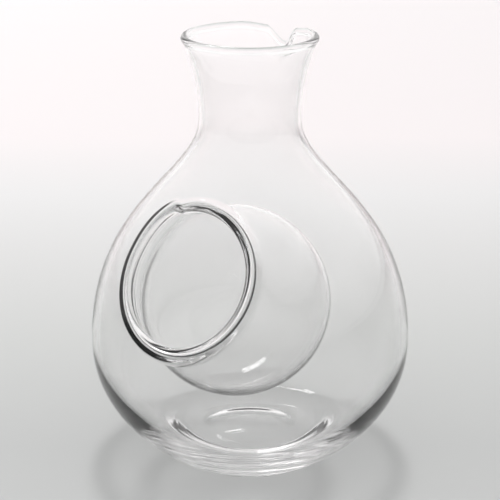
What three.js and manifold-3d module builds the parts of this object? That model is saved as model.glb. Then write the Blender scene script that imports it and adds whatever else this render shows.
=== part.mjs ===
// Hand-blown clear glass carafe with an ice pocket, in millimetres, +Z up, standing on z = 0.
// The pocket opens through the front wall (-Y) and the pouring lip points to the back (+Y).
import * as THREE from "three";
import { mergeVertices } from "three/addons/utils/BufferGeometryUtils.js";
import Module from "manifold-3d";

// Body, outer shape from the foot up to the rim
const HEIGHT = 151;
const FOOT_R = 25;
const FOOT_LAND = 6; // width of the flat ring that stands on the table
const KICK_RISE = 1.6; // hollow under the base, at its centre
const HEEL_ANGLE = 31; // degrees, slope of the wall where it leaves the foot
const HEEL_REACH = 18; // how far that slope is felt
const BODY_R = 55.4;
const BODY_Z = 43.3; // height of the widest part
const BELLY_FALL = 21; // how far the wall stays upright below the widest part
const SHOULDER_RISE = 48; // and above it
const WAIST_R = 17.2;
const WAIST_Z = 122.3; // height of the narrowest part of the neck
const NECK_FALL = 20; // how far the neck stays upright below its waist
const THROAT_RISE = 12; // and above it
const RIM_R = 22.9; // outside of the rim bead
const FLARE_ANGLE = 19.5; // degrees from upright, where the neck meets the rim
const FLARE_REACH = 6.6;

// Body, glass thickness
const WALL = 1.7; // in the neck
const BELLY_WALL = 2.4; // at the widest part
const BASE = 7; // glass over the table at the centre, kick included
const FLOOR_R = 30; // where the inner floor turns up into the wall
const FLOOR_RISE = 1; // how much higher than its centre the floor is there
const FLOOR_ANGLE = 36; // degrees, slope of the inner wall where it leaves the floor
const FLOOR_REACH = 8; // how far that slope is felt
const FLOOR_FALL = 20; // how far the inner wall stays upright below the widest part
const BEAD_R = 1.25; // fire-polished bead round the rim

// Pouring lip, pinched out of the rim while soft
const LIP_TURN = 6; // degrees from straight back towards +X
const LIP_WIDTH = 14;
const LIP_PULL = 5.6; // how far its tip stands out past the rim
const LIP_DROP = 4; // how far its tip dips below the rim
const LIP_DEPTH = 15; // how far down the neck the pinch reaches
const LIP_SHARPNESS = 1.3; // above 1 the channel narrows towards a V

// Ice pocket, a bulb blown inward along a tilted axis
const POCKET_TILT = 29.5; // degrees, the mouth looks up by this much
const POCKET_CROSS_Z = 54; // height where its axis crosses the centre line of the body
const POCKET_WALL = 1.5;
const POCKET_TAPER = 8; // degrees, how fast it widens right behind the mouth
const POCKET_TAPER_REACH = 12;
const BULB_R = 32.5;
const BULB_ALONG = 12; // its widest part, from the crossing towards the mouth
const BULB_RISE = 12; // how far the wall runs along the axis before the widest part
const BULB_END = 34; // from the widest part to the closed end

// Mouth of the pocket and the trailed ring that joins it to the body
const POCKET_MOUTH_WIDTH = 45.4; // on the centre of the ring
const POCKET_MOUTH_HEIGHT = 48.6;
const RING_D = 3.4;
const LAP = 1.5; // how far the end of the trail lies outside its start
const LAP_ANGLE = 117; // degrees from +X, seen from the front, where the ends meet
const LAP_STEP = 8; // degrees over which the trail steps out
const LAP_FADE = 50; // degrees over which it comes back in

// Fits and fineness
const JOINT_GAP = 0.3; // left between pieces that the hot glass fuses
const BODY_SEGMENTS = 80;
const POCKET_SEGMENTS = 56;
const RING_SEGMENTS = 72;
const RING_SIDES = 8;

const wasm = await Module();
wasm.setup();

const rad = THREE.MathUtils.degToRad;
const smoothstep = THREE.MathUtils.smoothstep;

// A closed geometry as a solid, and a solid back as a geometry

function solidOf(geometry) {
  const bare = new THREE.BufferGeometry();
  bare.setAttribute("position", geometry.getAttribute("position"));
  bare.setIndex(geometry.index);
  const merged = mergeVertices(bare, 1e-4);
  const corners = merged.index.array;
  const kept = [];
  for (let i = 0; i < corners.length; i += 3) {
    const [a, b, c] = corners.slice(i, i + 3);
    if (a !== b && b !== c && c !== a) kept.push(a, b, c);
  }
  return new wasm.Manifold(
    new wasm.Mesh({
      numProp: 3,
      vertProperties: merged.getAttribute("position").array,
      triVerts: new Uint32Array(kept),
    }),
  );
}

function geometryOf(solid) {
  const mesh = solid.getMesh();
  const geometry = new THREE.BufferGeometry();
  geometry.setAttribute("position", new THREE.BufferAttribute(mesh.vertProperties, 3));
  geometry.setIndex(new THREE.BufferAttribute(mesh.triVerts, 1));
  geometry.computeVertexNormals();
  return geometry;
}

// A profile of (radius, height) points turned about the Z axis
function turned(profile, segments) {
  return new THREE.LatheGeometry(profile, segments).rotateX(Math.PI / 2);
}

// Points on a curve, moved to the left of its direction by a distance that depends on the point
function inset(curve, distance, divisions) {
  return Array.from({ length: divisions + 1 }, (_, i) => {
    const point = curve.getPoint(i / divisions);
    const along = curve.getTangent(i / divisions);
    const left = new THREE.Vector2(-along.y, along.x);
    return point.clone().addScaledVector(left, distance(point));
  });
}

// Outer curves of the body: heel, shoulder, throat

const flare = rad(FLARE_ANGLE);
const flareAlong = new THREE.Vector2(Math.sin(flare), Math.cos(flare));
const flareOut = new THREE.Vector2(Math.cos(flare), -Math.sin(flare));
const beadCentre = new THREE.Vector2(RIM_R - BEAD_R, HEIGHT - BEAD_R);
const beadSink = Math.sqrt(BEAD_R ** 2 - (WALL / 2) ** 2);
const throatEnd = beadCentre
  .clone()
  .addScaledVector(flareOut, WALL / 2)
  .addScaledVector(flareAlong, -beadSink);

const widest = new THREE.Vector2(BODY_R, BODY_Z);
const waist = new THREE.Vector2(WAIST_R, WAIST_Z);
const heelStart = new THREE.Vector2(FOOT_R, 0);
const heelAlong = new THREE.Vector2(Math.cos(rad(HEEL_ANGLE)), Math.sin(rad(HEEL_ANGLE)));

const heel = new THREE.CubicBezierCurve(
  heelStart,
  heelStart.clone().addScaledVector(heelAlong, HEEL_REACH),
  new THREE.Vector2(BODY_R, BODY_Z - BELLY_FALL),
  widest,
);
const shoulder = new THREE.CubicBezierCurve(
  widest,
  new THREE.Vector2(BODY_R, BODY_Z + SHOULDER_RISE),
  new THREE.Vector2(WAIST_R, WAIST_Z - NECK_FALL),
  waist,
);
const throat = new THREE.CubicBezierCurve(
  waist,
  new THREE.Vector2(WAIST_R, WAIST_Z + THROAT_RISE),
  throatEnd.clone().addScaledVector(flareAlong, -FLARE_REACH),
  throatEnd,
);

// The wall thins from the widest part up to the neck
function bodyWall(point) {
  return THREE.MathUtils.lerp(BELLY_WALL, WALL, smoothstep(point.y, BODY_Z, WAIST_Z));
}

// Inside of the thick base: the wall comes down to a nearly level floor
const innerR = BODY_R - BELLY_WALL;
const floorEdge = new THREE.Vector2(FLOOR_R, BASE + FLOOR_RISE);
const floorAlong = new THREE.Vector2(Math.cos(rad(FLOOR_ANGLE)), Math.sin(rad(FLOOR_ANGLE)));
const basinWall = new THREE.CubicBezierCurve(
  new THREE.Vector2(innerR, BODY_Z),
  new THREE.Vector2(innerR, BODY_Z - FLOOR_FALL),
  floorEdge.clone().addScaledVector(floorAlong, FLOOR_REACH),
  floorEdge,
);
const basinFloor = new THREE.CubicBezierCurve(
  floorEdge,
  floorEdge.clone().addScaledVector(floorAlong, -FLOOR_RISE / floorAlong.y),
  new THREE.Vector2(FLOOR_R / 2, BASE),
  new THREE.Vector2(0, BASE),
);

// The bead, from the outside of the flare over the rim to its inside
const beadOpening = Math.asin(WALL / 2 / BEAD_R);
const bead = new THREE.EllipseCurve(
  beadCentre.x,
  beadCentre.y,
  BEAD_R,
  BEAD_R,
  -Math.PI / 2 - flare + beadOpening,
  1.5 * Math.PI - flare - beadOpening,
);

const underside = new THREE.QuadraticBezierCurve(
  new THREE.Vector2(0, KICK_RISE),
  new THREE.Vector2((FOOT_R - FOOT_LAND) / 2, KICK_RISE),
  new THREE.Vector2(FOOT_R - FOOT_LAND, 0),
);

const HEEL_STEPS = 5;
const SHOULDER_STEPS = 9;
const THROAT_STEPS = 5;
const BEAD_STEPS = 5;
const BASIN_STEPS = 5;
const FLOOR_STEPS = 3;
const UNDERSIDE_STEPS = 2;

const bodyProfile = [
  ...underside.getPoints(UNDERSIDE_STEPS),
  ...heel.getPoints(HEEL_STEPS).slice(0, -1),
  ...shoulder.getPoints(SHOULDER_STEPS).slice(0, -1),
  ...throat.getPoints(THROAT_STEPS).slice(0, -1),
  ...bead.getPoints(BEAD_STEPS),
  ...inset(throat, bodyWall, THROAT_STEPS).reverse().slice(1, -1),
  ...inset(shoulder, bodyWall, SHOULDER_STEPS).reverse(),
  ...basinWall.getPoints(BASIN_STEPS).slice(1),
  ...basinFloor.getPoints(FLOOR_STEPS).slice(1),
];

// The lip: vertices near the rim are drawn out and down, most at its middle

function pinchLip(geometry) {
  const place = geometry.getAttribute("position");
  const halfAngle = Math.asin(LIP_WIDTH / 2 / RIM_R);
  const lipBearing = Math.PI / 2 - rad(LIP_TURN);
  for (let i = 0; i < place.count; i++) {
    const x = place.getX(i);
    const y = place.getY(i);
    const z = place.getZ(i);
    const off = Math.atan2(y, x) - lipBearing;
    const away = Math.min(1, Math.abs(Math.atan2(Math.sin(off), Math.cos(off))) / halfAngle);
    const across = (0.5 + 0.5 * Math.cos(Math.PI * away)) ** LIP_SHARPNESS;
    const amount = across * smoothstep(z, HEIGHT - LIP_DEPTH, HEIGHT);
    const radius = Math.hypot(x, y);
    const stretch = radius > 0 ? 1 + (LIP_PULL * amount) / radius : 1;
    place.setXYZ(i, x * stretch, y * stretch, z - LIP_DROP * amount);
  }
  return geometry;
}

// The mouth of the pocket lies on the middle of the body wall. In the pocket's own frame its axis
// is Z, outward, so each point round the mouth has a radius and a seat, its height on that axis.

const midWall = [heel, shoulder].flatMap((curve) =>
  inset(curve, (point) => bodyWall(point) / 2, 40),
);

function wallRadius(z) {
  const above = midWall.findIndex((point) => point.y >= z);
  if (above < 1) return midWall[above === 0 ? 0 : midWall.length - 1].x;
  const low = midWall[above - 1];
  const high = midWall[above];
  return THREE.MathUtils.mapLinear(z, low.y, high.y, low.x, high.x);
}

const pocketFrame = new THREE.Group();
pocketFrame.position.set(0, 0, POCKET_CROSS_Z);
pocketFrame.rotation.x = Math.PI / 2 - rad(POCKET_TILT);
pocketFrame.updateMatrix();

function lapAt(degrees) {
  const past = THREE.MathUtils.euclideanModulo(degrees - LAP_ANGLE, 360);
  const before = 360 - past;
  return LAP * Math.max(1 - smoothstep(past, 0, LAP_FADE), 1 - smoothstep(before, 0, LAP_STEP));
}

function mouthRadius(angle) {
  const halfWidth = POCKET_MOUTH_WIDTH / 2;
  const halfHeight = POCKET_MOUTH_HEIGHT / 2;
  const oval =
    (halfWidth * halfHeight) /
    Math.hypot(halfHeight * Math.cos(angle), halfWidth * Math.sin(angle));
  return oval + lapAt(THREE.MathUtils.radToDeg(angle));
}

function mouthSeat(angle) {
  const radius = mouthRadius(angle);
  let inside = 0;
  let outside = 2 * BODY_R;
  for (let halving = 0; halving < 40; halving++) {
    const middle = (inside + outside) / 2;
    const point = new THREE.Vector3(
      radius * Math.cos(angle),
      radius * Math.sin(angle),
      middle,
    ).applyMatrix4(pocketFrame.matrix);
    if (Math.hypot(point.x, point.y) < wallRadius(point.z)) inside = middle;
    else outside = middle;
  }
  return inside;
}

const meanRadius = (POCKET_MOUTH_WIDTH + POCKET_MOUTH_HEIGHT) / 4;
const seats = Array.from({ length: RING_SEGMENTS }, (_, i) =>
  mouthSeat((2 * Math.PI * i) / RING_SEGMENTS),
);
const meanSeat = seats.reduce((sum, seat) => sum + seat, 0) / seats.length;

// Fits a round form about the pocket's axis to the oval, curved mouth. How much of the fit a
// vertex takes depends on its height on the axis.
function fitToMouth(geometry, share) {
  const place = geometry.getAttribute("position");
  for (let i = 0; i < place.count; i++) {
    const x = place.getX(i);
    const y = place.getY(i);
    const z = place.getZ(i);
    const angle = Math.atan2(y, x);
    const part = share(z);
    const stretch = 1 + part * (mouthRadius(angle) / meanRadius - 1);
    place.setXYZ(i, x * stretch, y * stretch, z + part * (mouthSeat(angle) - meanSeat));
  }
  return geometry;
}

const ringR = RING_D / 2;
const wholly = () => 1;

// The opening in the body: a plug as wide as the mouth, with a bulge that clears the ring
const openingR = ringR + JOINT_GAP;
const plugReach = meanRadius; // the domed wall over the mouth stands off by less than this
const openingBulge = new THREE.EllipseCurve(
  meanRadius,
  meanSeat,
  openingR,
  openingR,
  -Math.PI / 2,
  Math.PI / 2,
);
const openingProfile = [
  new THREE.Vector2(0, meanSeat - plugReach),
  new THREE.Vector2(meanRadius, meanSeat - plugReach),
  ...openingBulge.getPoints(RING_SIDES / 2),
  new THREE.Vector2(meanRadius, meanSeat + plugReach),
  new THREE.Vector2(0, meanSeat + plugReach),
];
const opening = fitToMouth(turned(openingProfile, RING_SEGMENTS), wholly);
opening.applyMatrix4(pocketFrame.matrix);

const bodyBlank = pinchLip(turned(bodyProfile, BODY_SEGMENTS));
const bodyGeometry = geometryOf(solidOf(bodyBlank).subtract(solidOf(opening)));

// The pocket: a taper from the ring to the bulb, closed by a round end, with an even wall

const pocketMouth = new THREE.Vector2(
  meanRadius + POCKET_WALL / 2,
  meanSeat - ringR - JOINT_GAP,
);
const taperAlong = new THREE.Vector2(Math.sin(rad(POCKET_TAPER)), -Math.cos(rad(POCKET_TAPER)));
const bulbSide = new THREE.Vector2(BULB_R, BULB_ALONG);
const bulbEnd = new THREE.EllipseCurve(0, BULB_ALONG, BULB_R, BULB_END, -Math.PI / 2, 0);
const bulbEndInside = new THREE.EllipseCurve(
  0,
  BULB_ALONG,
  BULB_R - POCKET_WALL,
  BULB_END - POCKET_WALL,
  0,
  -Math.PI / 2,
  true,
);
const taper = new THREE.CubicBezierCurve(
  bulbSide,
  new THREE.Vector2(BULB_R, BULB_ALONG + BULB_RISE),
  pocketMouth.clone().addScaledVector(taperAlong, POCKET_TAPER_REACH),
  pocketMouth,
);

const BULB_STEPS = 8;
const TAPER_STEPS = 5;
const pocketProfile = [
  ...bulbEnd.getPoints(BULB_STEPS),
  ...taper.getPoints(TAPER_STEPS).slice(1),
  new THREE.Vector2(meanRadius - POCKET_WALL / 2, pocketMouth.y),
  ...inset(taper, () => POCKET_WALL, TAPER_STEPS).reverse().slice(1),
  ...bulbEndInside.getPoints(BULB_STEPS).slice(1),
];
const pocketGeometry = fitToMouth(turned(pocketProfile, POCKET_SEGMENTS), (z) =>
  smoothstep(z, BULB_ALONG, meanSeat),
);

// The ring: one trail of glass laid round the mouth
const ringGeometry = fitToMouth(
  new THREE.TorusGeometry(meanRadius, ringR, RING_SIDES, RING_SEGMENTS).translate(0, 0, meanSeat),
  wholly,
);

// The carafe put together

function clearGlass() {
  return new THREE.MeshStandardMaterial({
    color: 0xf1f4f3,
    roughness: 0.03,
    metalness: 0,
    transparent: true,
    opacity: 0.35,
  });
}

function piece(name, geometry) {
  const mesh = new THREE.Mesh(geometry, clearGlass());
  mesh.name = name;
  return mesh;
}

const carafe = new THREE.Group();
carafe.add(piece("carafe_body", bodyGeometry));
carafe.add(pocketFrame);
pocketFrame.add(piece("ice_pocket", pocketGeometry));
pocketFrame.add(piece("pocket_mouth_ring", ringGeometry));

export default carafe;
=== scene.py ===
"""Clear blown-glass carafe with an ice pocket, on a pale studio floor. Sizes are in metres."""
import bisect
import math

import bmesh
import bpy
from mathutils import Matrix, Vector
from mathutils.geometry import interpolate_bezier


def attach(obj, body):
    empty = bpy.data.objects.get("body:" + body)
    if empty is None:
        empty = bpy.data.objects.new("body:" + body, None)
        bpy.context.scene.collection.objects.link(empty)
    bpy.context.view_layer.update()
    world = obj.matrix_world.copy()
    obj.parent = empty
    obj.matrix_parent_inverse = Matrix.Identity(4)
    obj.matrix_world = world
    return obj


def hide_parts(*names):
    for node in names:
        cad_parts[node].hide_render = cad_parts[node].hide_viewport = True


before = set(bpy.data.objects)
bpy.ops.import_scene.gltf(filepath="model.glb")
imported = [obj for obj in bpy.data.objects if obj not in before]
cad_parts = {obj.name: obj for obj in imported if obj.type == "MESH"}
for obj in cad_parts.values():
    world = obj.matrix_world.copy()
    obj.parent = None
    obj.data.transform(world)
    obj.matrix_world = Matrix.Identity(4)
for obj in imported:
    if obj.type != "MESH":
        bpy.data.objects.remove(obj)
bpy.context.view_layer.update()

# Body: the gourd-shaped shell of the carafe, one gather of clear glass blown thin over a thick base.
# Its rim is fire-polished to a small bead, and one lip is pressed out of it while it is soft.
# It stands free on a narrow flat ring round the hollow under its base.

HEIGHT = 0.1504
FOOT_R = 0.025
FOOT_LAND = 0.006
KICK_RISE = 0.002  # the hollow under the base, at its centre
KICK_CROWN = 0.75  # these two shares of the hollow's radius give its rise an S shape
KICK_SKIRT = 0.8
HEEL_ANGLE = math.radians(31)
HEEL_REACH = 0.018
BODY_R = 0.0554
BODY_Z = 0.0433
BELLY_FALL = 0.021
SHOULDER_RISE = 0.048
WAIST_R = 0.0172
WAIST_Z = 0.1223
NECK_FALL = 0.020
THROAT_RISE = 0.012
RIM_R = 0.0229
FLARE_ANGLE = math.radians(19.5)
FLARE_REACH = 0.0066
WALL = 0.0017
BELLY_WALL = 0.0025
BASE = 0.008
FLOOR_R = 0.034
FLOOR_RISE = 0.003
FLOOR_ANGLE = math.radians(45)
FLOOR_REACH = 0.005
FLOOR_FALL = 0.018
BEAD_R = 0.00125
BEAD_POINTS = 20
BODY_STEPS = 240
SOFTENING = 0.5
SOFTENING_PASSES = 12
MERGE_DISTANCE = 1e-7


def stretch(start, start_handle, end_handle, end, count):
    """Points of one Bezier stretch of a profile, from (radius, height) pairs."""
    knots = [Vector((radius, 0, height)) for radius, height in (start, start_handle, end_handle, end)]
    return interpolate_bezier(*knots, count)


def joined(*stretches):
    """One profile from stretches that each start where the last one ends."""
    points = list(stretches[0])
    for points_after in stretches[1:]:
        points += points_after[1:]
    return points


def inset(points, wall):
    """The same profile moved to the left of its direction, into the glass, by the wall at each point."""
    moved = []
    for before, here, after in zip(points[:1] + points[:-1], points, points[1:] + points[-1:]):
        along = (after - before).normalized()
        moved.append(here + wall(here) * Vector((-along.z, 0, along.x)))
    return moved


def smoothstep(value, low, high):
    """0 below low and 1 above high, with an even change between."""
    share = min(1, max(0, (value - low) / (high - low)))
    return share * share * (3 - 2 * share)


def body_wall(point):
    """The glass is thinnest in the neck."""
    return BELLY_WALL + (WALL - BELLY_WALL) * smoothstep(point.z, BODY_Z, WAIST_Z)


def turned(profile, steps, round_off=lambda point: False):
    """A bmesh of a profile spun about the Z axis, with the corners that round_off picks softened."""
    bm = bmesh.new()
    verts = [bm.verts.new(point) for point in profile]
    edges = [bm.edges.new(pair) for pair in zip(verts, verts[1:])]
    soft = [vert for vert in verts if round_off(vert.co)]
    for _ in range(SOFTENING_PASSES):
        bmesh.ops.smooth_vert(bm, verts=soft, factor=SOFTENING, use_axis_x=True, use_axis_z=True)
    bmesh.ops.spin(bm, geom=verts + edges, axis=(0, 0, 1), angle=math.tau, steps=steps, use_merge=True)
    bmesh.ops.remove_doubles(bm, verts=bm.verts, dist=MERGE_DISTANCE)
    bmesh.ops.recalc_face_normals(bm, faces=bm.faces)
    return bm


land_inner = (FOOT_R - FOOT_LAND, 0)
heel_start = (FOOT_R, 0)
heel_handle = (FOOT_R + HEEL_REACH * math.cos(HEEL_ANGLE), HEEL_REACH * math.sin(HEEL_ANGLE))
widest = (BODY_R, BODY_Z)
waist = (WAIST_R, WAIST_Z)
bead_sink = math.sqrt(BEAD_R**2 - (WALL / 2) ** 2)
throat_end = (
    RIM_R - BEAD_R + WALL / 2 * math.cos(FLARE_ANGLE) - bead_sink * math.sin(FLARE_ANGLE),
    HEIGHT - BEAD_R - WALL / 2 * math.sin(FLARE_ANGLE) - bead_sink * math.cos(FLARE_ANGLE),
)
throat_handle = (
    throat_end[0] - FLARE_REACH * math.sin(FLARE_ANGLE),
    throat_end[1] - FLARE_REACH * math.cos(FLARE_ANGLE),
)

kick_handle = (KICK_CROWN * land_inner[0], KICK_RISE)
underside = stretch((0, KICK_RISE), kick_handle, (KICK_SKIRT * land_inner[0], 0), land_inner, count=24)
land = stretch(land_inner, land_inner, heel_start, heel_start, count=12)
heel = stretch(heel_start, heel_handle, (BODY_R, BODY_Z - BELLY_FALL), widest, count=30)
shoulder_handle = (BODY_R, BODY_Z + SHOULDER_RISE)
shoulder = stretch(widest, shoulder_handle, (WAIST_R, WAIST_Z - NECK_FALL), waist, count=64)
throat = stretch(waist, (WAIST_R, WAIST_Z + THROAT_RISE), throat_handle, throat_end, count=28)
outside = joined(heel, shoulder, throat)
inside = inset(outside, body_wall)[len(heel) - 1:]

bead_opening = math.asin(WALL / 2 / BEAD_R)
bead_start = -math.pi / 2 - FLARE_ANGLE + bead_opening
bead_turn = math.tau - 2 * bead_opening
bead = [
    Vector((RIM_R - BEAD_R + BEAD_R * math.cos(turn), 0, HEIGHT - BEAD_R + BEAD_R * math.sin(turn)))
    for turn in (bead_start + bead_turn * i / BEAD_POINTS for i in range(BEAD_POINTS + 1))
]

inner_widest = (BODY_R - BELLY_WALL, BODY_Z)
basin_handle = (BODY_R - BELLY_WALL, BODY_Z - FLOOR_FALL)
floor_edge = (FLOOR_R, BASE + FLOOR_RISE)
floor_handle = (
    FLOOR_R + FLOOR_REACH * math.cos(FLOOR_ANGLE),
    floor_edge[1] + FLOOR_REACH * math.sin(FLOOR_ANGLE),
)
floor_turn = FLOOR_RISE / math.tan(FLOOR_ANGLE)
basin_wall = stretch(inner_widest, basin_handle, floor_handle, floor_edge, count=40)
basin_floor = stretch(floor_edge, (FLOOR_R - floor_turn, BASE), (FLOOR_R / 2, BASE), (0, BASE), count=24)
body_profile = joined(underside, land, outside, bead, inside[::-1], basin_wall, basin_floor)

FOOT_CORNERS_FROM = 0.017
FOOT_CORNERS_TO = 0.028
FOOT_CORNERS_HEIGHT = 0.0012
BEAD_CORNERS_FROM = HEIGHT - 0.006
BEAD_CORNERS_TO = HEIGHT - 1.5 * BEAD_R


def glass_corner(point):
    """Near the edges of the foot and under the bead, where hot glass leaves no sharp corner."""
    near_foot = point.z < FOOT_CORNERS_HEIGHT and FOOT_CORNERS_FROM < point.x < FOOT_CORNERS_TO
    return near_foot or BEAD_CORNERS_FROM < point.z < BEAD_CORNERS_TO


body_bm = turned(body_profile, BODY_STEPS, glass_corner)

# The lip is a narrow dip at the back of the rim, in a wider and shallower sag.

LIP_TURN = math.radians(1)
LIP_WIDTH = 0.0125
LIP_PULL = 0.002
LIP_DROP = 0.0066
LIP_DEPTH = 0.015
LIP_SAG = 0.25  # the sag's share of the pull and the drop
SAG_WIDTH = 0.030


def swell(offset, width):
    """1 at the middle of a swelling of the rim and 0 past its ends, with a smooth change between."""
    return 0.5 + 0.5 * math.cos(math.pi * min(1, abs(offset) / math.asin(width / 2 / RIM_R)))


for vert in body_bm.verts:
    offset = math.atan2(vert.co.x, vert.co.y) - LIP_TURN
    across = (1 - LIP_SAG) * swell(offset, LIP_WIDTH) + LIP_SAG * swell(offset, SAG_WIDTH)
    amount = across * smoothstep(vert.co.z, HEIGHT - LIP_DEPTH, HEIGHT)
    if amount:
        vert.co.xy += LIP_PULL * amount * vert.co.xy.normalized()
        vert.co.z -= LIP_DROP * amount

# The opening in the front wall follows the mouth of the pocket, an oval about the pocket's tilted axis.

POCKET_TILT = math.radians(29.5)
POCKET_CROSS_Z = 0.054
MOUTH_WIDTH = 0.0438
MOUTH_HEIGHT = 0.0474
MOUTH_STEPS = 240
LAP = 0.0015
LAP_ANGLE = 117  # these three are in degrees
LAP_STEP = 8
LAP_FADE = 50
RING_REACH = 0.004  # from the middle of the ring to the edge of the opening
PLUG_DEPTH = 1.6  # as a share of the mouth's mean radius
SEAT_PRECISION = 1e-8

pocket_turn = Matrix.Rotation(math.pi / 2 - POCKET_TILT, 4, "X")
pocket_frame = Matrix.Translation((0, 0, POCKET_CROSS_Z)) @ pocket_turn


def mouth_radius(angle):
    """From the pocket's axis to the middle of the ring. The trail's end laps outside its start."""
    half_width, half_height = MOUTH_WIDTH / 2, MOUTH_HEIGHT / 2
    span = math.hypot(half_height * math.cos(angle), half_width * math.sin(angle))
    past = (math.degrees(angle) - LAP_ANGLE) % 360
    lap = max(1 - smoothstep(past, 0, LAP_FADE), 1 - smoothstep(360 - past, 0, LAP_STEP))
    return half_width * half_height / span + LAP * lap


def seat(angle, radius, wall):
    """How far along the pocket's axis a wall of the body lies, at a place round the axis."""
    heights = [point.z for point in wall]
    near, far = 0, 2 * BODY_R
    while far - near > SEAT_PRECISION:
        middle = (near + far) / 2
        point = pocket_frame @ Vector((radius * math.cos(angle), radius * math.sin(angle), middle))
        above = min(max(bisect.bisect(heights, point.z), 1), len(wall) - 1)
        low, high = wall[above - 1], wall[above]
        share = (point.z - low.z) / (high.z - low.z)
        if math.hypot(point.x, point.y) < low.x + share * (high.x - low.x):
            near = middle
        else:
            far = middle
    return near


outer_wall = shoulder
inner_wall = inside[:len(shoulder)]
middle_wall = [(outer + inner) / 2 for outer, inner in zip(outer_wall, inner_wall)]
mouth_angles = [math.tau * i / MOUTH_STEPS for i in range(MOUTH_STEPS)]
seats = [seat(angle, mouth_radius(angle), middle_wall) for angle in mouth_angles]
mean_seat = sum(seats) / len(seats)
mean_radius = (MOUTH_WIDTH + MOUTH_HEIGHT) / 4

plug_bm = bmesh.new()
bmesh.ops.create_cone(
    plug_bm,
    cap_ends=True,
    segments=MOUTH_STEPS,
    radius1=mean_radius,
    radius2=mean_radius,
    depth=PLUG_DEPTH * mean_radius,
)
for vert in plug_bm.verts:
    angle = math.atan2(vert.co.y, vert.co.x)
    vert.co.xy = (mouth_radius(angle) + RING_REACH) * vert.co.xy.normalized()
bmesh.ops.translate(plug_bm, verts=plug_bm.verts, vec=(0, 0, mean_seat))
bmesh.ops.transform(plug_bm, verts=plug_bm.verts, matrix=pocket_frame)
for face in plug_bm.faces:
    face.material_index = 1


def finished(name, bm, materials):
    """The object of a bmesh, smooth all over but sharp where one material meets another."""
    for face in bm.faces:
        face.smooth = True
    for edge in bm.edges:
        edge.smooth = len({face.material_index for face in edge.link_faces}) == 1
    mesh = bpy.data.meshes.new(name)
    bm.to_mesh(mesh)
    bm.free()
    for material in materials:
        mesh.materials.append(material)
    piece = bpy.data.objects.new(name, mesh)
    bpy.context.scene.collection.objects.link(piece)
    return piece


class Shade:
    """A shader socket. Arithmetic on it adds Math nodes, and node() adds a node of any kind."""

    def __init__(self, tree, socket=None):
        self.tree = tree
        self.socket = socket

    def node(self, kind, settings=(), sockets=(), output=0):
        """A new node's output. Settings are its properties, and stops are those of a colour ramp."""
        new = self.tree.nodes.new(kind)
        for name, value in dict(settings).items():
            if name == "stops":
                while len(new.color_ramp.elements) < len(value):
                    new.color_ramp.elements.new(0.5)
                for element, (position, colour) in zip(new.color_ramp.elements, value):
                    element.position = position
                    element.color = colour
            else:
                setattr(new, name, value)
        for name, value in dict(sockets).items():
            if isinstance(value, Shade):
                self.tree.links.new(value.socket, new.inputs[name])
            else:
                new.inputs[name].default_value = value
        return Shade(self.tree, new.outputs[output] if len(new.outputs) else None)

    def maths(self, operation, first, second):
        return self.node("ShaderNodeMath", {"operation": operation}, {0: first, 1: second})

    def vector_maths(self, operation, sockets, output=0):
        return self.node("ShaderNodeVectorMath", {"operation": operation}, {0: self, **sockets}, output)

    def dot(self, direction):
        """How far this vector goes along a direction."""
        return self.vector_maths("DOT_PRODUCT", {1: direction}, "Value")

    def ramp(self, low, high, start=0.0, end=1.0):
        """A smooth change from start at low to end at high."""
        return self.node(
            "ShaderNodeMapRange",
            {"interpolation_type": "SMOOTHSTEP"},
            {"Value": self, "From Min": low, "From Max": high, "To Min": start, "To Max": end},
        )

    def __abs__(self):
        return self.maths("ABSOLUTE", self, 0.0)

    def __add__(self, other):
        return self.maths("ADD", self, other)

    def __mul__(self, other):
        return self.maths("MULTIPLY", self, other)

    def __sub__(self, other):
        return self.maths("SUBTRACT", self, other)

    def __rsub__(self, other):
        return self.maths("SUBTRACT", other, self)

    __radd__ = __add__
    __rmul__ = __mul__


def new_material(name):
    """An empty material, and the start of its nodes."""
    material = bpy.data.materials.new(name)
    material.use_nodes = True
    material.node_tree.nodes.clear()
    return material, Shade(material.node_tree)


GLASS_IOR = 1.5
GLASS_TONE = 0.955  # what a wall lets through low down, where the glass is thicker
TONE_HEIGHTS = (0.06, 0.10)  # the glass clears from the first height to the second
GREEN_LIFT = 0.01
WAVE_SCALE = 22.0
WAVE_DEPTH = 0.000006
WAVE_HEIGHTS = (0.03, 0.06)  # the waves fade out from the first height to the second
CORD_SCALE = (30, 30, 1000)
EDGE_SHADOW = 0.55  # what the glass holds back of the lamp where it is seen edge on
FOOT_SHADOW_TONE = 0.94  # what the foot lets through of the lamp
FOOT_SHADOW_HEIGHTS = (0.012, 0.022)
BODY_CORD_HEIGHTS = (0.012, 0.020)
BODY_CORD_DEPTH = 0.00009


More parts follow.
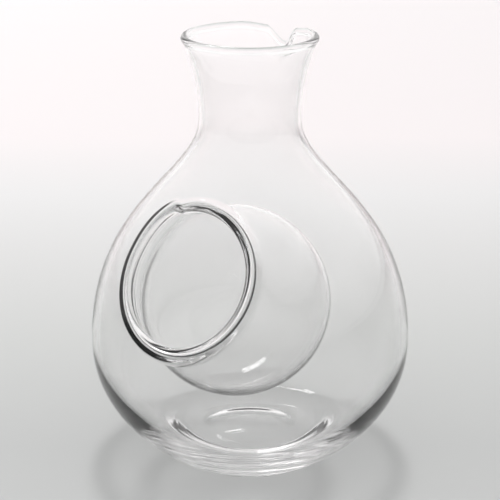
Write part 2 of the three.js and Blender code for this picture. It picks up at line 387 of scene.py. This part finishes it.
def blown_glass(name, cord_heights, cord_depth):
    """Clear glass, a little wavy and grey low down, with fine drawn-out cords below a height.
    The lamps shine straight through it, and its edges and foot cast a pale shadow."""
    material, shade = new_material(name)
    place = shade.node("ShaderNodeTexCoord", output="Object")
    height = shade.node("ShaderNodeSeparateXYZ", {}, {0: place}, output="Z")
    waves = shade.node("ShaderNodeTexNoise", {}, {"Vector": place, "Scale": WAVE_SCALE, "Detail": 1.0})
    drawn = place.vector_maths("MULTIPLY", {1: CORD_SCALE})
    cords = shade.node("ShaderNodeTexNoise", {}, {"Vector": drawn, "Scale": 1.0, "Detail": 2.0})
    wavy = waves * height.ramp(*WAVE_HEIGHTS, WAVE_DEPTH, 0.0)
    corded = cords * height.ramp(*cord_heights, cord_depth, 0.0)
    relief = shade.node("ShaderNodeBump", {}, {"Height": wavy + corded, "Strength": 1.0, "Distance": 1.0})
    tone = height.ramp(*TONE_HEIGHTS, GLASS_TONE, 1.0)
    green = tone * (1 - GREEN_LIFT) + GREEN_LIFT
    tint = shade.node("ShaderNodeCombineXYZ", {}, {"X": tone, "Y": green, "Z": tone})
    glass = shade.node(
        "ShaderNodeBsdfPrincipled",
        {},
        {
            "Base Color": tint,
            "Roughness": 0.0,
            "IOR": GLASS_IOR,
            "Transmission Weight": 1.0,
            "Normal": relief,
        },
    )
    facing = shade.node("ShaderNodeLayerWeight", {}, {"Blend": 0.5}, output="Facing")
    foot_shadow = height.ramp(*FOOT_SHADOW_HEIGHTS, FOOT_SHADOW_TONE, 1.0)
    clear = (1 - facing * facing * facing * EDGE_SHADOW) * foot_shadow
    shadow_tint = shade.node("ShaderNodeCombineXYZ", {}, {"X": clear, "Y": clear, "Z": clear})
    through = shade.node("ShaderNodeBsdfTransparent", {}, {"Color": shadow_tint})
    in_shadow = shade.node("ShaderNodeLightPath", output="Is Shadow Ray")
    blend = shade.node("ShaderNodeMixShader", {}, {0: in_shadow, 1: glass, 2: through})
    shade.node("ShaderNodeOutputMaterial", {}, {"Surface": blend})
    return material


def fused_joint():
    """Where two gathers have melted together: the glass goes on, so nothing shows there."""
    material, shade = new_material("fused_joint")
    clear = shade.node("ShaderNodeBsdfTransparent", {}, {"Color": (1, 1, 1, 1)})
    shade.node("ShaderNodeOutputMaterial", {}, {"Surface": clear})
    return material


body_glass = blown_glass("body_glass", BODY_CORD_HEIGHTS, BODY_CORD_DEPTH)
joint = fused_joint()

plug = finished("opening_plug", plug_bm, [body_glass, joint])
body = finished("carafe_body_glass", body_bm, [body_glass, joint])
cut = body.modifiers.new("opening", "BOOLEAN")
cut.operation = "DIFFERENCE"
cut.object = plug
cut.solver = "EXACT"
cut_mesh = bpy.data.meshes.new_from_object(body.evaluated_get(bpy.context.evaluated_depsgraph_get()))
bpy.data.objects.remove(body)
bpy.data.objects.remove(plug)
body_bm = bmesh.new()
body_bm.from_mesh(cut_mesh)
body = finished("carafe_body_glass", body_bm, [body_glass, joint])
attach(body, "root")
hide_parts("carafe_body")

# Ice pocket: the inner bulb that keeps ice apart from the drink, blown inward from a second gather.
# It tilts up to the front, and its neck is fused to the ring round the opening of the body.

POCKET_WALL = 0.0012
POCKET_TAPER = math.radians(8)
POCKET_TAPER_REACH = 0.012
BULB_R = 0.0325
BULB_ALONG = 0.012
BULB_RISE = 0.012
BULB_END = 0.034
JOINT_DEPTH = 0.005
JOINT_TOLERANCE = 1e-6
RING_R = 0.0013
POOL_DEPTH = 0.0005  # glass that has run to the bottom of the bulb
POOL_POWER = 3
POCKET_STEPS = 240
POCKET_CORD_HEIGHTS = (0.030, 0.040)
POCKET_CORD_DEPTH = 0.00002

joint_radius = mean_radius + (JOINT_DEPTH - RING_R) * math.tan(POCKET_TAPER)
joint_along = mean_seat - JOINT_DEPTH
quarter_handle = 4 / 3 * math.tan(math.pi / 8)
bulb_back = BULB_ALONG - BULB_END
bulb_side = (BULB_R, BULB_ALONG)
bulb = stretch(
    (0, bulb_back),
    (quarter_handle * BULB_R, bulb_back),
    (BULB_R, BULB_ALONG - quarter_handle * BULB_END),
    bulb_side,
    count=48,
)
pocket_lip = (joint_radius + POCKET_WALL / 2, joint_along)
taper_handle = (
    pocket_lip[0] + POCKET_TAPER_REACH * math.sin(POCKET_TAPER),
    pocket_lip[1] - POCKET_TAPER_REACH * math.cos(POCKET_TAPER),
)
taper = stretch(bulb_side, (BULB_R, BULB_ALONG + BULB_RISE), taper_handle, pocket_lip, count=40)
pocket_outside = joined(bulb, taper)
pocket_inside = inset(pocket_outside, lambda point: POCKET_WALL)
pocket_inside[0].x = 0
pocket_inside[-1] = Vector((joint_radius - POCKET_WALL / 2, 0, joint_along))
pocket_bm = turned(pocket_outside + pocket_inside[::-1], POCKET_STEPS)

for face in pocket_bm.faces:
    if min(vert.co.z for vert in face.verts) > joint_along - JOINT_TOLERANCE:
        face.material_index = 1

pocket_bm.normal_update()
down = pocket_frame.to_3x3().inverted() @ Vector((0, 0, -1))
for vert in pocket_bm.verts:
    into_glass = -vert.normal
    on_inside = into_glass.dot(vert.co - Vector((0, 0, BULB_ALONG))) > 0
    if on_inside:
        low = (0.5 + 0.5 * into_glass.dot(down)) ** POOL_POWER
        fade = 1 - smoothstep(vert.co.z, BULB_ALONG, joint_along)
        vert.co -= POOL_DEPTH * low * fade * into_glass


def mouth_step(angle):
    """The number of the step round the mouth that lies at an angle."""
    return round(angle / math.tau * MOUTH_STEPS) % MOUTH_STEPS


def fit_to_mouth(point):
    """Moves a point of the round pocket to the oval, curved mouth, wholly at its joint."""
    share = smoothstep(point.z, BULB_ALONG, joint_along)
    angle = math.atan2(point.y, point.x)
    point.xy *= 1 + share * (mouth_radius(angle) / mean_radius - 1)
    point.z += share * (seats[mouth_step(angle)] - mean_seat)


for vert in pocket_bm.verts:
    fit_to_mouth(vert.co)
bmesh.ops.transform(pocket_bm, verts=pocket_bm.verts, matrix=pocket_frame)
pocket_glass = blown_glass("pocket_glass", POCKET_CORD_HEIGHTS, POCKET_CORD_DEPTH)
pocket = finished("ice_pocket_glass", pocket_bm, [pocket_glass, joint])
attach(pocket, "root")
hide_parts("ice_pocket")

# Ring: a trail of hot glass laid round the opening, which joins the pocket's neck to the body's wall.
# Its end laps over its start and leaves a small step near the top.
# Melted in, it is a rounded fold between the two walls, with a crotch behind it.

FOLD_R = 0.001
CROTCH_DEPTH = 0.0015  # from the centre of the fold
CROTCH_SIDE = 0.0010  # how much deeper it is at the left
CROTCH_RISE = 0.0005  # and at the top
CREST_POINTS = 12
WEB_POINTS = 12
BEND_SHARE = 0.4
SLOPE_STEP = 0.001


def wall_place(angle, radius, wall):
    """A point on a wall of the body as (radius, along), and the way that the wall runs there."""
    here = Vector((radius, seat(angle, radius, wall)))
    beyond = Vector((radius + SLOPE_STEP, seat(angle, radius + SLOPE_STEP, wall)))
    return here, (beyond - here).normalized()


def bend(start, start_along, end, end_along, count):
    """Points of a curve that leaves its start and reaches its end in the ways given."""
    handle = BEND_SHARE * (end - start).length
    knots = (start, start + handle * start_along, end - handle * end_along, end)
    return [point.to_2d() for point in interpolate_bezier(*(knot.to_3d() for knot in knots), count)]


def ring_section(angle, middle):
    """The ring's outline at a place round the mouth, as (radius, along) points: over the outside
    from the body's wall to the pocket's, then back under it."""
    reach = mouth_radius(angle) + RING_REACH
    body_out, out_along = wall_place(angle, reach, outer_wall)
    body_in, in_along = wall_place(angle, reach, inner_wall)
    crest_normal = Vector((-out_along.y, out_along.x))
    crest_radius = mouth_radius(angle) - RING_R + FOLD_R + FOLD_R * crest_normal.x
    crest = Vector((crest_radius, seat(angle, crest_radius, outer_wall)))
    centre = crest - FOLD_R * crest_normal
    inner_side = centre - Vector((FOLD_R, 0))
    inward = Vector((0, -1))
    fit = mouth_radius(angle) / mean_radius
    pocket_in = Vector(((joint_radius - POCKET_WALL / 2) * fit, middle - JOINT_DEPTH))
    pocket_out = Vector(((joint_radius + POCKET_WALL / 2) * fit, middle - JOINT_DEPTH))
    down_pocket = Vector((fit * math.sin(POCKET_TAPER), -math.cos(POCKET_TAPER))).normalized()
    over = bend(body_out, -out_along, crest, -out_along, CREST_POINTS)
    round_side = bend(crest, -out_along, inner_side, inward, CREST_POINTS)
    neck_side = bend(inner_side, inward, pocket_in, down_pocket, CREST_POINTS)
    to_crest = (-in_along - down_pocket).normalized()
    depth = CROTCH_DEPTH - CROTCH_SIDE * math.cos(angle) + CROTCH_RISE * math.sin(angle)
    crotch = centre - depth * to_crest
    across = Vector((to_crest.y, -to_crest.x))
    under = bend(pocket_out, -down_pocket, crotch, across, WEB_POINTS)
    under += bend(crotch, across, body_in, in_along, WEB_POINTS)[1:]
    return over + round_side[1:] + neck_side[1:] + under


sections = [ring_section(angle, middle) for angle, middle in zip(mouth_angles, seats)]
ring_points = len(sections[0])
pocket_side = 3 * CREST_POINTS - 3  # the last place before the outline turns under
joint_places = ({pocket_side, pocket_side + 1}, {ring_points - 1, 0})

ring_bm = bmesh.new()
place_layer = ring_bm.verts.layers.int.new("place")
loop = bmesh.ops.create_circle(ring_bm, segments=ring_points, radius=RING_R)["verts"]
loop_edges = list(ring_bm.edges)
for place, vert in enumerate(loop):
    vert[place_layer] = place
    vert.co = Vector((mean_radius + vert.co.x, 0, vert.co.y))
bmesh.ops.spin(
    ring_bm, geom=loop + loop_edges, axis=(0, 0, 1), angle=math.tau, steps=MOUTH_STEPS, use_merge=True
)
for vert in ring_bm.verts:
    angle = math.atan2(vert.co.y, vert.co.x)
    radius, along = sections[mouth_step(angle)][vert[place_layer]]
    vert.co = pocket_frame @ Vector((radius * math.cos(angle), radius * math.sin(angle), along))
bmesh.ops.recalc_face_normals(ring_bm, faces=ring_bm.faces)
for face in ring_bm.faces:
    face.material_index = int({vert[place_layer] for vert in face.verts} in joint_places)
ring = finished("pocket_mouth_ring_glass", ring_bm, [body_glass, joint])
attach(ring, "root")
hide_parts("pocket_mouth_ring")

# Floor: a wide matt sheet whose colour is painted light, grey round the carafe and nearly white behind
# it, as the camera looks, as a sweep lit more strongly at the back would be.
# It darkens to both sides, and a little more to the right, in painted shade.

FLOOR_SIZE = 12
CAMERA_AZIMUTH = math.radians(29.4)
# painted light along the camera's view: darkest round the carafe, nearly white and a little pink far
# behind
FLOOR_PAINTED_LIGHT = (
    (0.0, (0.64, 0.64, 0.64, 1)),
    (0.16, (0.61, 0.615, 0.61, 1)),
    (0.20, (0.60, 0.605, 0.60, 1)),
    (0.25, (0.68, 0.685, 0.675, 1)),
    (0.30, (0.775, 0.77, 0.765, 1)),
    (0.35, (0.87, 0.86, 0.86, 1)),
    (0.41, (0.97, 0.918, 0.922, 1)),
    (0.65, (1.0, 0.955, 0.962, 1)),
)
CARAFE_STOP = 0.2  # where the carafe stands among the stops
STOPS_PER_METRE = 0.5
# painted shade towards both sides of the floor, and a little more at the right
SIDE_FROM = 0.12
SIDE_TO = 0.6
SIDE_PAINTED_SHADE = 0.6
SIDE_SPREAD = 0.17  # how much farther out the painted shade of the sides lies for each metre behind the carafe
MIDDLE_PAINTED_LIGHT = 1.005
RIGHT_PAINTED_SHADE = 0.15

backward = Vector((-math.sin(CAMERA_AZIMUTH), math.cos(CAMERA_AZIMUTH), 0))
sideways = Vector((math.cos(CAMERA_AZIMUTH), math.sin(CAMERA_AZIMUTH), 0))

floor_bm = bmesh.new()
bmesh.ops.create_grid(floor_bm, x_segments=1, y_segments=1, size=FLOOR_SIZE / 2)
floor_material, shade = new_material("floor_with_painted_light")
place = shade.node("ShaderNodeTexCoord", output="Object")
depth = place.dot(backward)
width = place.dot(sideways)
# The floor's colour is painted light, graded along and across the camera's view.
stop = depth * STOPS_PER_METRE + CARAFE_STOP
tone = shade.node("ShaderNodeValToRGB", {"stops": FLOOR_PAINTED_LIGHT}, {"Fac": stop})
aside = abs(width) - depth * SIDE_SPREAD
painted_falloff = aside.ramp(SIDE_FROM, SIDE_TO, 1.0, SIDE_PAINTED_SHADE) * (MIDDLE_PAINTED_LIGHT - RIGHT_PAINTED_SHADE * width)
sheet = shade.node(
    "ShaderNodeBsdfPrincipled",
    {},
    {
        "Base Color": tone.vector_maths("SCALE", {"Scale": painted_falloff}),
        "Roughness": 1.0,
        "Specular IOR Level": 0.0,
    },
)
shade.node("ShaderNodeOutputMaterial", {}, {"Surface": sheet})
floor = finished("studio_floor", floor_bm, [floor_material])

# Light: a lamp high up behind the carafe and a wide soft fill, which only light the floor.
# What shows in the glass is a pale room, brighter behind and above, and one bright strip high up in it.

LAMP_ELEVATION = math.radians(72)
LAMP_ANGLE = math.radians(9)
LAMP_STRENGTH = 1.2
FILL_ANGLE = math.radians(120)
FILL_STRENGTH = 2.0
ROOM_COLOUR = (1, 0.985, 0.985, 1)
FRONT_SKY = 0.6
BACK_SKY = 1.0
BACK_FROM = 0.3  # how far the way looked goes backward
BACK_TO = 0.9
HIGH_SKY = 1.1
HIGH_FROM = -0.1  # how far it goes up
HIGH_TO = 0.45
STRIP_STRENGTH = 20.0
STRIP_PLACE = (-0.25, 0.59, 0.79)  # sideways, backward and up, as the next one is
STRIP_RUN = (-0.85, -0.4675, 0.2497)
STRIP_NEARNESS = (0.7, 0.75)
STRIP_LENGTH = (0.030, 0.045)  # squares of its half length, where it starts to fade and where it ends
STRIP_BREADTH = (0.0015, 0.003)  # and of its half breadth


def sun(name, strength, angle, towards):
    """A sun lamp that is not seen in the glass."""
    lamp = bpy.data.lights.new(name, "SUN")
    lamp.energy = strength
    lamp.angle = angle
    lamp.cycles.use_multiple_importance_sampling = False
    holder = bpy.data.objects.new(name, lamp)
    holder.rotation_euler = towards.to_track_quat("Z", "Y").to_euler()
    holder.visible_glossy = False
    holder.visible_transmission = False
    bpy.context.scene.collection.objects.link(holder)


def studio_way(aside, back, up):
    """A direction from its parts sideways, backward and up, as the camera stands."""
    return (aside * sideways + back * backward + Vector((0, 0, up))).normalized()


lamp_way = studio_way(0, math.cos(LAMP_ELEVATION), math.sin(LAMP_ELEVATION))
sun("lamp", LAMP_STRENGTH, LAMP_ANGLE, lamp_way)
sun("fill", FILL_STRENGTH, FILL_ANGLE, Vector((0, 0, 1)))

world = bpy.data.worlds.new("studio")
world.use_nodes = True
world.node_tree.nodes.clear()
bpy.context.scene.world = world
world.cycles_visibility.diffuse = False
shade = Shade(world.node_tree)
way = shade.node("ShaderNodeTexCoord", output="Generated")
up = shade.node("ShaderNodeSeparateXYZ", {}, {0: way}, output="Z")
low_sky = way.dot(backward).ramp(BACK_FROM, BACK_TO, FRONT_SKY, BACK_SKY)
sky = low_sky + (HIGH_SKY - low_sky) * up.ramp(HIGH_FROM, HIGH_TO)

strip = studio_way(*STRIP_PLACE)
strip_run = studio_way(*STRIP_RUN)
strip_along = (strip_run - strip_run.dot(strip) * strip).normalized()
length = way.dot(strip_along)
breadth = way.dot(strip.cross(strip_along))
in_length = (length * length).ramp(*STRIP_LENGTH, 1.0, 0.0)
in_breadth = (breadth * breadth).ramp(*STRIP_BREADTH, 1.0, 0.0)
in_strip = way.dot(strip).ramp(*STRIP_NEARNESS) * in_length * in_breadth
brightness = sky + STRIP_STRENGTH * in_strip
room = shade.node("ShaderNodeBackground", {}, {"Color": ROOM_COLOUR, "Strength": brightness})
shade.node("ShaderNodeOutputWorld", {}, {"Surface": room})

# Camera: the photograph's, looking down at the carafe from its front right.
# Light in the thick glass is cut off after some bounces, which leaves the dark lines of its edges.

CAMERA_AWAY = 0.4945
CAMERA_HEIGHT = 0.2512
CAMERA_PITCH = math.radians(19.62)
CAMERA_LENS = 109.44
BOUNCES = 18
CLEAR_BOUNCES = 32

camera_data = bpy.data.cameras.new("camera")
camera_data.lens = CAMERA_LENS
camera = bpy.data.objects.new("camera", camera_data)
camera.location = (
    CAMERA_AWAY * math.sin(CAMERA_AZIMUTH),
    -CAMERA_AWAY * math.cos(CAMERA_AZIMUTH),
    CAMERA_HEIGHT,
)
camera.rotation_euler = (math.pi / 2 - CAMERA_PITCH, 0, CAMERA_AZIMUTH)
bpy.context.scene.collection.objects.link(camera)
bpy.context.scene.camera = camera
bpy.context.scene.view_settings.view_transform = "Standard"

paths = bpy.context.scene.cycles
paths.caustics_refractive = False
paths.caustics_reflective = False
paths.max_bounces = BOUNCES
paths.transmission_bounces = BOUNCES
paths.glossy_bounces = BOUNCES
paths.transparent_max_bounces = CLEAR_BOUNCES
